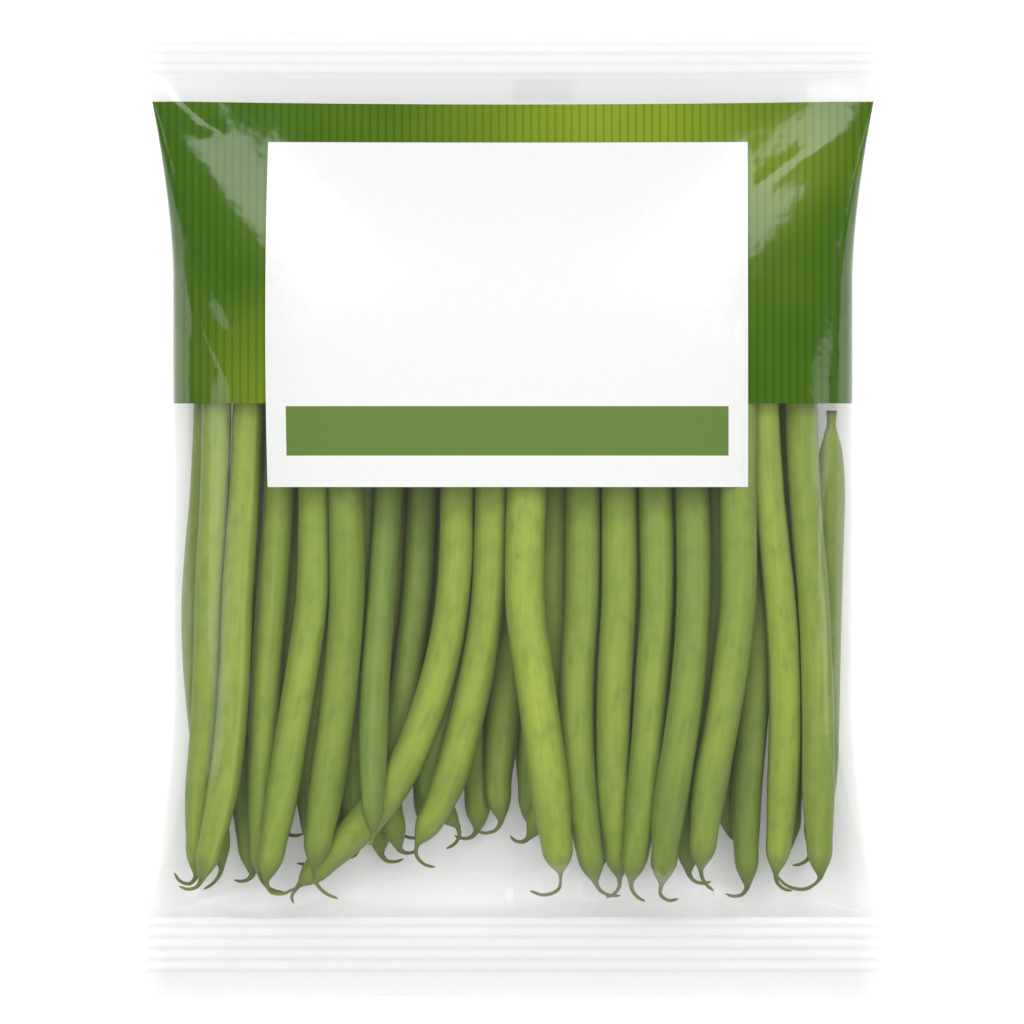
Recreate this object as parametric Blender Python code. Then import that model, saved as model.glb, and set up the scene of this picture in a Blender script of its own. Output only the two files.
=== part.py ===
"""Clear film bag of fresh green beans, lying on its back with its printed front facing up.

The beans lie along the bag in three layers, tails towards the bottom seal, and rest on each
other. Each bean is one solid: a cut stalk, a cap, the pod and its thin curled tail. The bag
is one tube of film: a pillow with a crimped seal at each end, a fin seam folded flat along
its back, and two vent holes. Its back bulges a little in three places, on which it rests.

World frame: +X runs across the bag, +Y towards its top seal, +Z up through its front.
The origin lies under the middle of the bag, on the surface that it rests on.
Lengths are in millimetres here, and MM turns them into metres where a mesh is made.
"""

import math
import random

import bpy
import numpy as np

MM = 0.001

# Bag, outside sizes
BAG_END = 99.6           # from the middle of the bag to the edge of either seal
TOP_SEAL = 89.3          # where the pillow closes into the top seal
BOTTOM_SEAL = -83.3      # where it closes into the bottom seal
SEAL_HALF_WIDTH = 75.0
WAIST_HALF_WIDTH = 69.5
WAIST_TOP = 48.0         # the sides run straight between these two and flare beyond them
WAIST_BOTTOM = -40.0
CROWN = 31.8             # height of the filled bag over its middle
SIDE_FOLD_HEIGHT = 9.5
SEAL_HEIGHT = 7.0
FLAT_HALF_WIDTH = 45.0   # the part of the back that lies flat
FLAT_TOP = 45.0
FLAT_BOTTOM = -62.0
LOW_SPOTS = ((-36.0, -49.0), (36.0, -49.0), (-14.0, 33.0))    # where the back touches down
LOW_SPOT_HALF = 5.0      # half the width of the flat middle of such a spot
LOW_SPOT_REACH = 9.0     # and half its whole width
LOW_SPOT_SIDES = (-LOW_SPOT_REACH, -LOW_SPOT_HALF, LOW_SPOT_HALF, LOW_SPOT_REACH)
BACK_RISE = 0.8          # height of the rest of the back over these spots
FILM = 0.6
SEAL_HALF_THICKNESS = 0.6
CAVITY_END_HALF = 0.15   # half height of the cavity where it runs out at a seal
SIDE_INSET = 1.2         # the inner face stands this much further in at the side folds
END_INSET = 1.3          # and this much further in at the ends
FLARE_POWER = 1.6
CROWN_POWER = 3.4        # how square the front's arch is across the bag
BOTTOM_POWER = 4.0       # a blunt end, pushed out by the tips of the beans
TOP_POWER = 1.8          # a long wedge over the stalk ends
BOTTOM_SHOULDER = -30.0
TOP_SHOULDER = 25.0

# Crimped ribs
RIB_HEIGHT = 0.3
TOP_RIBS = (90.3, 1.95, 4)        # first crest, pitch, number of ribs
BOTTOM_RIBS = (-84.4, -2.3, 5)

# Fin seam along the back, and the channel that makes room for it
SEAM_WIDTH = 12.2
SEAM_GAP = 0.3
SEAM_ENDS = (-82.3, 88.3)
SEAM_ROOT = 0.6
CHANNEL = (-1.2, -0.4, 12.8, 13.6)
VENTS = ((-28.0, 62.0), (28.0, 62.0))
VENT_RADIUS = 2.5
VENT_REACH = 6.5
FRONT_INNER = (-24.0, 0.0, 24.0)      # lines along the film between the edges of its print
FILM_SHARES = (0.4, 0.72, 0.93, 1.0)  # more lines, as shares of the way out to the side folds
CAVITY_SHARES = (0.5, 0.82, 0.95, 1.0)

# Print: band round the bag, panel and strip on the front
BAND = (21.9, 83.7)
PANEL_X = (-50.0, 48.0)
PANEL_Y = (4.8, 75.5)
STRIP_X = (-46.0, 44.0)
STRIP_Y = (11.2, 21.3)

# Colours, linear
CLEAR_COLOUR = (0.86, 0.88, 0.86)
GREEN_COLOUR = (0.07, 0.17, 0.012)
WHITE_COLOUR = (0.93, 0.93, 0.92)
STRIP_COLOUR = (0.15, 0.26, 0.075)
CLEAR_ALPHA = 0.3
CLEAR_ROUGHNESS = 0.12
PRINT_ROUGHNESS = 0.3
BLUISH_POD = (0.19, 0.33, 0.10)
YELLOWISH_POD = (0.31, 0.42, 0.10)
POD_ROUGHNESS = 0.42

# Beans
GAP = 0.3                # between neighbouring beans
FILM_CLEARANCE = 0.8     # between a bean and the smooth inner face of the film
SAMPLE_STEP = 2.0        # spacing of the points that test how beans rest
FLOOR_X = (-69.0, 69.1)  # reach of the points that stand for the film under the beans
FLOOR_Y = (-81.0, 87.1)
FLOOR_STEP = 1.5
PLAN_POINTS = 160
SPLAY = 0.4              # share of a pod's slant that goes on above the topmost of ROWS
STALK_ENDS = (20.0, 40.0)    # heights of a stalk end along the bag, and at each the least
STALK_MARGINS = (3.5, 7.5)   # distance of the stalk end from the side of the bag
BEND_TERMS = 6           # terms of the gentle curve in which a bean lies on the others
BEND_STIFFNESS = 3000.0  # weight against bending, next to the gaps left under a bean
BEND_STEPS = 25
SUNK_WEIGHT = 60.0       # weight of a place where the curve would sink into what lies below
FRONT_SIDES = 8
HIDDEN_SIDES = 6
STALK = 4.5
STALK_PROFILE = ((-STALK, 1.15), (-2.0, 0.95))    # distance along the bean, radius
CAP_PROFILE = ((0.0, 0.42), (2.0, 0.66), (6.0, 0.88), (12.0, 1.0))    # distance, share of pod
TIP_PROFILE = ((17.0, 1.0), (9.5, 0.86), (4.5, 0.62), (1.6, 0.38))    # distance to tip, share
TAIL_RADIUS = 0.6
TAIL_TIP_RADIUS = 0.4
TAIL_STEPS = 12
TAIL_CURL = 0.6          # below 1, the tail turns mostly near its root
TAIL_RINGS = (0.35, 0.7, 1.0)
POD_RINGS = 8
SEED = 7

# Heights along the bag at which a bean's place across the bag is given, near the label's
# lower edge first and near the tips last
ROWS = (4.0, -18.3, -38.8, -59.3)

# Each bean: width of its pod, place across the bag at each of ROWS, its tip, the height of
# its stalk end, and the length and turn of its tail, a turn to the left being positive.
# They are listed in the order in which they come to rest.
FRONT_BEANS = (
    (6.7, (-11.3, -12.3, -16.8, -26.6), (-45.1, -78.0), 45.0, (5.0, 100)),
    (5.7, (-61.0, -62.2, -62.7, -64.2), (-64.8, -75.7), 47.0, (7.0, -170)),
    (6.1, (-47.8, -49.4, -50.8, -51.4), (-51.5, -75.3), 46.0, (6.0, 90)),
    (5.6, (-25.6, -27.1, -28.3, -28.7), (-28.5, -67.1), 49.0, (3.0, -80)),
    (6.9, (21.7, 21.7, 20.7, 20.7), (21.9, -76.8), 50.0, (6.0, -100)),
    (6.3, (52.1, 54.5, 55.6, 55.1), (53.7, -75.7), 44.0, (6.0, 110)),
    (6.6, (14.3, 14.1, 12.9, 13.9), (17.0, -76.8), 45.0, (7.0, 95)),
    (6.0, (-54.9, -56.4, -57.2, -59.7), (-64.0, -76.6), 50.0, (6.0, -120)),
    (6.4, (-40.6, -41.0, -44.1, -47.4), (-50.6, -76.6), 48.0, (8.0, 150)),
    (6.6, (-4.3, -5.1, -8.6, -14.8), (-20.1, -69.2), 44.0, (8.0, 130)),
    (6.5, (29.1, 29.5, 28.1, 26.6), (24.0, -76.8), 46.0, (6.0, 90)),
    (7.0, (45.9, 45.9, 43.3, 39.6), (38.3, -74.1), 45.0, (6.0, 70)),
    (6.4, (59.6, 61.4, 62.3, 62.5), (62.9, -75.3), 50.0, (12.0, -150)),
    (6.6, (36.7, 36.9, 35.3, 32.2), (30.1, -78.6), 43.0, (8.0, 170)),
    (6.9, (-34.2, -34.0, -35.7, -38.5), (-41.0, -74.3), 46.0, (9.0, 90)),
    (7.7, (2.9, 2.5, 5.1, 7.8), (10.0, -76.6), 42.0, (12.0, -165)),
)
# The two beans at the sides of the middle layer, which show past the front ones
SIDE_BEANS = (
    (5.6, (-63.1, -64.8, -64.0, -61.1), (-59.7, -73.3), 40.0, (6.0, -70)),
    (5.9, (64.9, 64.2, 63.7, 62.8), (61.2, -70.5), 15.9, (5.0, -80)),
)
# Tips of the middle layer's other beans, from left to right: each bean lies in the hollow
# between two of the front ones, and three of the hollows are empty
MIDDLE_TIPS = (
    None, (-53.3, -74.7), None, (-40.0, -70.5), (-31.5, -69.5), (-23.2, -69.6),
    (-10.9, -65.1), (-2.3, -63.9), (3.1, -67.5), (18.6, -72.0), (26.4, -71.0),
    (33.0, -69.0), (35.9, -74.7), (48.0, -77.4), None,
)
HIDDEN_WIDTHS = (5.9, 6.6)
HIDDEN_TIPS = (-71.0, -60.0)
HIDDEN_STALK_ENDS = (40.0, 51.0)
HIDDEN_TAIL = (3.5, 6.5)
TAIL_TURN = 120


def flare(y):
    """Share of the way from the straight waist to the full width of a seal."""
    top = (y - WAIST_TOP) / (TOP_SEAL - WAIST_TOP)
    bottom = (WAIST_BOTTOM - y) / (WAIST_BOTTOM - BOTTOM_SEAL)
    return np.clip(np.maximum(top, bottom), 0.0, 1.0) ** FLARE_POWER


def half_width(y, inset):
    """Half the width of the bag; inset is how far inside the outer face to measure."""
    wide = WAIST_HALF_WIDTH + (SEAL_HALF_WIDTH - WAIST_HALF_WIDTH) * flare(y)
    return wide - SIDE_INSET * inset


def fullness(y, inset):
    """1 where the pillow is full, falling to 0 at either seal."""
    bottom_end = BOTTOM_SEAL + END_INSET * inset
    top_end = TOP_SEAL - END_INSET * inset
    bottom = np.clip((BOTTOM_SHOULDER - y) / (BOTTOM_SHOULDER - bottom_end), 0.0, 1.0)
    top = np.clip((y - TOP_SHOULDER) / (top_end - TOP_SHOULDER), 0.0, 1.0)
    return np.sqrt(1 - bottom**BOTTOM_POWER) * (1 - top**TOP_POWER)


def lift(y, inset):
    """0 where the back lies flat, rising to 1 at either seal."""
    bottom_end = BOTTOM_SEAL + END_INSET * inset
    top_end = TOP_SEAL - END_INSET * inset
    bottom = np.clip((FLAT_BOTTOM - y) / (FLAT_BOTTOM - bottom_end), 0.0, 1.0)
    top = np.clip((y - FLAT_TOP) / (top_end - FLAT_TOP), 0.0, 1.0)
    return 1 - np.sqrt(1 - np.maximum(bottom, top) ** 2)


def seal_half(inset):
    return SEAL_HALF_THICKNESS if inset == 0 else CAVITY_END_HALF


def fold_height(y, inset):
    """Height of the fold at the side of the bag."""
    return SEAL_HEIGHT + (SIDE_FOLD_HEIGHT - SEAL_HEIGHT) * fullness(y, inset)


def channel(x, y):
    """How far the back is pushed in over the fin seam."""
    over = np.interp(x, CHANNEL, (0.0, 1.0, 1.0, 0.0))
    return (FILM + SEAM_GAP) * over * (1 - lift(y, 0)) ** 2


def low_spots(x, y):
    """1 where the back touches down, 0 away from there."""
    share = 0.0
    for middle_x, middle_y in LOW_SPOTS:
        away = np.maximum(np.abs(x - middle_x), np.abs(y - middle_y))
        share = np.maximum(share, np.interp(away, (LOW_SPOT_HALF, LOW_SPOT_REACH), (1.0, 0.0)))
    return share


def back_height(x, y, inset=0.0):
    """Height of the film's face on the back of the bag."""
    half = seal_half(inset)
    base = inset + BACK_RISE * (1 - low_spots(x, y))
    flat = base + (SEAL_HEIGHT - half - base) * lift(y, inset)
    side = fold_height(y, inset) - half
    out = (np.abs(x) - FLAT_HALF_WIDTH) / (half_width(y, inset) - FLAT_HALF_WIDTH)
    rise = 1 - np.sqrt(1 - np.clip(out, 0.0, 1.0) ** 2)
    return flat + (side - flat) * rise + channel(x, y)


def front_height(x, y, inset=0.0):
    """Height of the film's face on the front of the bag."""
    half = seal_half(inset)
    edge = SEAL_HEIGHT + half
    crown = edge + (CROWN - inset - edge) * fullness(y, inset)
    side = fold_height(y, inset) + half
    out = np.clip(np.abs(x) / half_width(y, inset), 0.0, 1.0)
    return side + (crown - side) * np.sqrt(1 - out**CROWN_POWER)


def spread(inner, edge, shares):
    """Places across the bag: the inner ones as given, then shares of the way out to its edge."""
    left = [inner[0] - (edge + inner[0]) * s for s in reversed(shares)]
    right = [inner[-1] + (edge - inner[-1]) * s for s in shares]
    return np.array(left + list(inner) + right)


def ribs(first, pitch, count):
    """Crest and trough stations of a crimped seal, with how far each stands proud."""
    stations = []
    for n in range(count):
        stations.append((first + n * pitch, RIB_HEIGHT))
        stations.append((first + (n + 0.5) * pitch, 0.0))
    return stations


def loft(sections):
    """Closed mesh through rings of equal count: (vertices, faces), ends closed by one face each."""
    count = len(sections[0])
    faces = [tuple(range(count))]
    for ring in range(len(sections) - 1):
        base = ring * count
        for n in range(count):
            nxt = (n + 1) % count
            faces.append((base + n, base + count + n, base + count + nxt, base + nxt))
    last = (len(sections) - 1) * count
    faces.append(tuple(range(last + count - 1, last - 1, -1)))
    return np.concatenate(sections), faces


def mesh_object(name, vertices, faces, material):
    mesh = bpy.data.meshes.new(name)
    mesh.from_pydata([tuple(float(c) * MM for c in v) for v in vertices], [], faces)
    mesh.materials.append(material)
    thing = bpy.data.objects.new(name, mesh)
    bpy.context.scene.collection.objects.link(thing)
    return thing


def helper(thing):
    """Marks a cutter or a joined piece, which isn't a part of its own."""
    thing.hide_render = True
    thing.display_type = "WIRE"
    return thing


def combine(target, operation, tool):
    modifier = target.modifiers.new(f"{operation.lower()} {tool.name}", "BOOLEAN")
    modifier.operation = operation
    modifier.solver = "EXACT"
    modifier.object = tool


def material(name, colour, roughness, alpha=1.0):
    made = bpy.data.materials.new(name)
    made.use_nodes = True
    shader = made.node_tree.nodes["Principled BSDF"]
    shader.inputs["Base Color"].default_value = (*colour, 1.0)
    shader.inputs["Roughness"].default_value = roughness
    shader.inputs["Metallic"].default_value = 0.0
    shader.inputs["Alpha"].default_value = alpha
    return made


def bag_section(y, rib, inset, shares):
    """One ring of points round the bag at height y, front from left to right, then back."""
    edge = half_width(y, inset)
    inner = (PANEL_X[0], STRIP_X[0], *FRONT_INNER, STRIP_X[1], PANEL_X[1])
    front_x = spread(inner, edge, shares)
    spots = {x + side for x, _ in LOW_SPOTS for side in LOW_SPOT_SIDES}
    back_x = spread(sorted(spots | set(CHANNEL)), edge, shares)[::-1]
    front = front_height(front_x, y, inset) + rib
    back = back_height(back_x, y, inset) + rib
    x = np.concatenate([front_x, back_x])
    z = np.concatenate([front, back])
    return np.column_stack([x, np.full(len(x), y), z])


def film_body(clear, green, white, strip):
    """Outer form of the bag, with its print as separate faces."""
    middle = (BAND[1], 79.6, PANEL_Y[1], 66.0, 56.0, 45.0, 38.0, 28.0, BAND[0], STRIP_Y[1],
              STRIP_Y[0], PANEL_Y[0], -6.0, -18.0, -30.0, -40.0, -44.0, -54.0, -62.0, -69.0,
              -75.0, -79.5, -82.0)
    stations = [(BAG_END, 0.0)]
    stations += list(reversed(ribs(*TOP_RIBS)))
    stations += [(TOP_SEAL, 0.0), (87.0, 0.0)]
    stations += [(y, 0.0) for y in middle]
    stations += [(BOTTOM_SEAL, 0.0)]
    stations += ribs(*BOTTOM_RIBS)
    stations += [(-BAG_END, 0.0)]
    sections = [bag_section(y, rib, 0.0, FILM_SHARES) for y, rib in stations]
    vertices, faces = loft(sections)
    body = mesh_object("bag_film", vertices, faces, clear)
    for extra in (green, white, strip):
        body.data.materials.append(extra)
    for face in body.data.polygons:
        x, y, _ = face.center / MM
        in_band = BAND[0] < y < BAND[1]
        on_front = face.normal.z > 0
        on_panel = PANEL_X[0] < x < PANEL_X[1] and PANEL_Y[0] < y < PANEL_Y[1]
        on_strip = STRIP_X[0] < x < STRIP_X[1] and STRIP_Y[0] < y < STRIP_Y[1]
        if in_band:
            face.material_index = 1
        if on_front and on_panel:
            face.material_index = 3 if on_strip else 2
    return body


def film_cavity(clear):
    stations = (88.4, 86.0, 80.0, 72.0, 62.0, 52.0, 45.0, 38.0, 28.0, 22.0, 9.0, -4.0, -17.0,
                -30.0, -40.0, -44.0, -54.0, -62.0, -69.0, -75.0, -79.5, -82.2)
    sections = [bag_section(y, 0.0, FILM, CAVITY_SHARES) for y in stations]
    vertices, faces = loft(sections)
    return helper(mesh_object("cavity", vertices, faces, clear))


def seam_flap(clear):
    """The folded fin seam: a flat strip under the back, joined to it along one edge."""
    sections = []
    for y in (SEAM_ENDS[1], 80.0, 70.0, 58.0, FLAT_TOP, -8.0, FLAT_BOTTOM, -69.0, -75.0,
              -79.5, SEAM_ENDS[0]):
        above = float(back_height(SEAM_WIDTH / 2, y))
        top = above - SEAM_GAP
        low = top - FILM
        join = above + 0.5 * FILM
        ring = ((0.0, low), (SEAM_WIDTH, low), (SEAM_WIDTH, top), (SEAM_ROOT, top),
                (SEAM_ROOT, join), (0.0, join))
        sections.append(np.array([(x, y, z) for x, z in reversed(ring)]))
    vertices, faces = loft(sections)
    return helper(mesh_object("fin_seam", vertices, faces, clear))


def vent_cutter(number, x, y, clear):
    """Upright cylinder through the back film alone."""
    bpy.ops.mesh.primitive_cylinder_add(
        vertices=16,
        radius=VENT_RADIUS * MM,
        depth=2 * VENT_REACH * MM,
        location=(x * MM, y * MM, float(back_height(x, y)) * MM),
    )
    cutter = bpy.context.object
    cutter.name = f"vent_cutter_{number}"
    cutter.data.materials.append(clear)
    return helper(cutter)


def build_bag():
    clear = material("clear film", CLEAR_COLOUR, CLEAR_ROUGHNESS, CLEAR_ALPHA)
    green = material("green print on film", GREEN_COLOUR, PRINT_ROUGHNESS)
    white = material("white print on film", WHITE_COLOUR, PRINT_ROUGHNESS)
    strip = material("mid green print on film", STRIP_COLOUR, PRINT_ROUGHNESS)
    body = film_body(clear, green, white, strip)
    combine(body, "DIFFERENCE", film_cavity(clear))
    for number, (x, y) in enumerate(VENTS):
        combine(body, "DIFFERENCE", vent_cutter(number, x, y, clear))
    combine(body, "UNION", seam_flap(clear))


def smooth_through(at, values, wanted):
    """Cubic curve through the values, read at the wanted places."""
    slopes = np.gradient(values, at)
    n = np.clip(np.searchsorted(at, wanted) - 1, 0, len(at) - 2)
    run = at[n + 1] - at[n]
    t = (wanted - at[n]) / run
    start = values[n] * (1 + 2 * t) * (1 - t) ** 2 + slopes[n] * run * t * (1 - t) ** 2
    end = values[n + 1] * t**2 * (3 - 2 * t) + slopes[n + 1] * run * t**2 * (t - 1)
    return start + end


def plan_of(bean, lean):
    """The bean's line seen from above, stalk end to tail end, and its pod's length."""
    _, across, tip, stalk_end, (tail, turn) = bean
    slope = (across[0] - across[1]) / (ROWS[0] - ROWS[1])
    rise = stalk_end - ROWS[0]
    reach = WAIST_HALF_WIDTH - float(np.interp(stalk_end, STALK_ENDS, STALK_MARGINS))
    top_x = float(np.clip(across[0] + SPLAY * slope * rise + lean, -reach, reach))
    at = np.array([tip[1], *reversed(ROWS), stalk_end])
    values = np.array([tip[0], *reversed(across), top_x])
    y = np.linspace(stalk_end, tip[1], PLAN_POINTS)
    pod = np.column_stack([smooth_through(at, values, y), y])
    heading = pod[0] - pod[3]
    stalk = pod[0] + heading / np.linalg.norm(heading) * STALK
    length = float(np.linalg.norm(np.diff(pod, axis=0), axis=1).sum())
    way = pod[-1] - pod[-4]
    angle = math.atan2(way[1], way[0])
    points = [pod[-1]]
    for n in range(1, TAIL_STEPS + 1):
        now = angle + math.radians(turn) * (n / TAIL_STEPS) ** TAIL_CURL
        step = np.array([math.cos(now), math.sin(now)]) * tail / TAIL_STEPS
        points.append(points[-1] + step)
    return np.vstack([stalk, pod, points[1:]]), length


def bean_profile(length, radius, tail):
    """Distances from the pod's stalk end, the stalk's below zero, and the radius at each."""
    stalk = list(STALK_PROFILE)
    cap = [(at, share * radius) for at, share in CAP_PROFILE]
    tip = [(length - at, share * radius) for at, share in TIP_PROFILE]
    end = [(length, TAIL_RADIUS), (length + tail, TAIL_TIP_RADIUS)]
    return np.array(stalk + cap + tip + end).T


def along(line, s):
    """Points of the line at distances s from the pod's stalk end."""
    run = np.concatenate([[0.0], np.cumsum(np.linalg.norm(np.diff(line, axis=0), axis=1))])
    return np.column_stack([np.interp(s, run - STALK, line[:, n]) for n in range(line.shape[1])])


def floor_points():
    """The film's inner face on the back, as points of no radius."""
    x, y = np.meshgrid(np.arange(*FLOOR_X, FLOOR_STEP), np.arange(*FLOOR_Y, FLOOR_STEP))
    keep = np.abs(x) < half_width(y, FILM)
    x, y = x[keep], y[keep]
    z = back_height(x, y, FILM) + FILM_CLEARANCE - GAP
    return np.column_stack([x, y, z, np.zeros(len(x))])


def resting_height(samples, under):
    """Height of each sample of a bean just clear of what lies under it."""
    apart = samples[:, None, 2] + under[None, :, 3] + GAP
    away = (samples[:, None, :2] - under[None, :, :2]) ** 2
    left = apart**2 - away.sum(axis=2)
    need = np.where(left > 0, under[None, :, 2] + np.sqrt(np.maximum(left, 0.0)), -1.0)
    return need.max(axis=1)


def bean_bend(s, need):
    """The gentle curve in which a stiff bean lies over the heights that it needs."""
    place = 2 * (s - s[0]) / (s[-1] - s[0]) - 1
    terms = np.polynomial.legendre.legvander(place, BEND_TERMS - 1)
    stiff = math.sqrt(BEND_STIFFNESS) * np.diff(terms, 2, axis=0)
    still = np.zeros(len(stiff))
    weights = np.ones(len(s))
    for _ in range(BEND_STEPS):
        side = np.sqrt(weights)
        rows = np.vstack([terms * side[:, None], stiff])
        factors = np.linalg.lstsq(rows, np.concatenate([need * side, still]), rcond=None)[0]
        heights = terms @ factors
        weights = np.where(heights < need, SUNK_WEIGHT, 1.0)
    return heights + max(0.0, float((need - heights).max()))


def bean_rings(line, length, radius, tail, sides):
    """Rings of points square to the line, from the cut stalk to the end of the tail."""
    at, radii = bean_profile(length, radius, tail)
    last_cap = len(STALK_PROFILE) + len(CAP_PROFILE) - 1
    pod = np.linspace(at[last_cap], at[last_cap + 1], POD_RINGS)
    thin = length + tail * np.array(TAIL_RINGS)
    s = np.concatenate([at[:last_cap], pod, at[last_cap + 2:-1], thin])
    centres = along(line, s)
    ahead = along(line, s + 0.4) - along(line, s - 0.4)
    ahead /= np.linalg.norm(ahead, axis=1)[:, None]
    rings = []
    for centre, way, size in zip(centres, ahead, np.interp(s, at, radii)):
        up = np.array([0.0, 0.0, 1.0]) - way * way[2]
        up /= np.linalg.norm(up)
        side = np.cross(way, up)
        turns = [2 * math.pi * (n + 0.5) / sides for n in range(sides)]
        rings.append(np.array([
            centre + size * (math.cos(a) * side + math.sin(a) * up) for a in turns
        ]))
    return rings


def place_bean(name, bean, sides, lean, under, colour):
    """Models one bean where it comes to rest and returns its samples for those above it."""
    radius = bean[0] / 2
    tail = bean[4][0]
    plan, length = plan_of(bean, lean)
    s = np.linspace(-STALK, length + tail, round((STALK + length + tail) / SAMPLE_STEP))
    sizes = np.interp(s, *bean_profile(length, radius, tail))
    flat = along(plan, s)
    need = resting_height(np.column_stack([flat, sizes]), under)
    heights = bean_bend(s, need)
    line = np.column_stack([flat, heights])
    rings = bean_rings(line, length, radius, tail, sides)
    vertices, faces = loft(rings)
    made = mesh_object(name, vertices, faces, material(name, colour, POD_ROUGHNESS))
    made.data.shade_smooth()
    return np.column_stack([line, sizes])


def hollows(beans):
    """Places across the bag, at each of ROWS, of the hollows between neighbouring beans."""
    ordered = sorted(beans, key=lambda bean: bean[1][1])
    return [
        tuple((a + b) / 2 for a, b in zip(left[1], right[1]))
        for left, right in zip(ordered, ordered[1:])
    ]


def hidden_bean(draw, across, tip):
    """A bean in a hollow, its lowest part led towards its tip."""
    led = across[:3] + ((across[3] + tip[0]) / 2,)
    tail = (draw.uniform(*HIDDEN_TAIL), draw.choice((-1, 1)) * TAIL_TURN)
    return (draw.uniform(*HIDDEN_WIDTHS), led, tip, draw.uniform(*HIDDEN_STALK_ENDS), tail)


def middle_layer(draw):
    beans = [
        hidden_bean(draw, across, tip)
        for across, tip in zip(hollows(FRONT_BEANS), MIDDLE_TIPS)
        if tip
    ]
    return [*SIDE_BEANS, *beans]


def back_layer(draw, middle):
    """The lowest layer lies in the hollows of the middle one, short of the bag's sides."""
    beans = []
    for across in hollows(middle)[1:]:
        straight = across[:3] + across[2:3]
        tip = (across[2], draw.uniform(*HIDDEN_TIPS))
        beans.append(hidden_bean(draw, straight, tip))
    return beans


def bean_colour(draw):
    """Linear colour of one pod, between bluish and yellowish green."""
    blue, yellow = np.array(BLUISH_POD), np.array(YELLOWISH_POD)
    return tuple(blue + (yellow - blue) * draw.random())


def build_beans():
    draw = random.Random(SEED)
    under = floor_points()
    middle = middle_layer(draw)
    layers = (
        ("back", back_layer(draw, middle), HIDDEN_SIDES),
        ("middle", middle, HIDDEN_SIDES),
        ("front", FRONT_BEANS, FRONT_SIDES),
    )
    for layer, beans, sides in layers:
        for number, bean in enumerate(beans, 1):
            lean = draw.uniform(-1.0, 1.0)
            name = f"bean_{layer}_{number:02d}"
            samples = place_bean(name, bean, sides, lean, under, bean_colour(draw))
            under = np.vstack([under, samples])


def clear_scene():
    for thing in list(bpy.data.objects):
        bpy.data.objects.remove(thing, do_unlink=True)


clear_scene()
build_beans()
build_bag()
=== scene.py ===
"""Looks of a clear film bag of fresh green beans, which lies on its back on a pale floor.

Each bean is a straight pod, modelled once, that is copied and bent along its solid's own line.
The film is one skin: two sheets welded at their edges, the front one drawn down over the beans.
Lengths in the formulas are in millimetres, and MM turns them into metres where a mesh is made.
"""

import math
import random

import bmesh
import bpy
import numpy as np
from bpy.props import FloatProperty, FloatVectorProperty, IntProperty, PointerProperty
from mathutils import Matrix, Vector


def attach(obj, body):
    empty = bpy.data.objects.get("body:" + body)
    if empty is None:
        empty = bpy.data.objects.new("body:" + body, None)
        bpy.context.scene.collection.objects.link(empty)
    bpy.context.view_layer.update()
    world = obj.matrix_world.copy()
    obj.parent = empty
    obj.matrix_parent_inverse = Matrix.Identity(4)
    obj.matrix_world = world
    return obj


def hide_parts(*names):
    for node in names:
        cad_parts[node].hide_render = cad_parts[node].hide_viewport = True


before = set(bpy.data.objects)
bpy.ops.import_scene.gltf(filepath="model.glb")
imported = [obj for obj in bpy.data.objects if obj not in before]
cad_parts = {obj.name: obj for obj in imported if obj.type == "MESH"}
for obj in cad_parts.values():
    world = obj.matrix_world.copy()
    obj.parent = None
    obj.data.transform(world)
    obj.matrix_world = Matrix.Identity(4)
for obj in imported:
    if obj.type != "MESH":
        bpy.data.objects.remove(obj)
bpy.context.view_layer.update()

bl_info = {
    "name": "Bag of green beans",
    "version": (1, 0, 0),
    "blender": (4, 5, 0),
    "location": "3D View > Sidebar > Beans",
    "description": "Models the pods, the printed film and the studio of a bag of green beans",
    "category": "Object",
}

MM = 0.001


def linear(hex_colour):
    """Linear RGB of an sRGB colour such as #9DB35C."""
    shares = [int(hex_colour[n:n + 2], 16) / 255 for n in (1, 3, 5)]
    return tuple(c / 12.92 if c <= 0.04045 else ((c + 0.055) / 1.055) ** 2.4 for c in shares)


# Pods. A bean's node is a row of rings from its cut stalk to the end of its tail. These are the
# rings where the stalk, cap, pod, taper and tail begin and end, with the share of the fine
# mesh's rings that has been spent by then.
NODE_MARKS = (0, 2, 5, 12, 16, 19)
RING_SHARES = (0.0, 0.06, 0.17, 0.60, 0.78, 1.0)
TAIL_SLIM = 0.72         # the real tail is thinner than the solid's
SLIM_OVER = 2.0          # millimetres over which the tail thins down to that
SWELL = 1.04             # pods press against each other, so they fill the solids' gaps
BLUNT = 0.3              # a pod is this much fuller BLUNT_FROM millimetres before its tail
BLUNT_FROM = 3.6
BLUNT_OVER = 3.2
DEPTH_SHARE = 0.94       # a pod is a little flatter than it is wide
MERGE = 1e-6             # metres
FLAT_WITHIN = 2e-5       # metres from its plane within which a point belongs to the cut face
TAIL_END = 0.8           # millimetres over which the end of a tail narrows
TAIL_END_SHARE = 0.45    # and the share of its width that is left there
AHEAD = 0.2              # millimetres either side of a place that give its way ahead
SUTURE_WIDTH = 0.17      # radians
POD_SEED = 11
POD_SKIN = "fresh bean pod skin"

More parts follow.
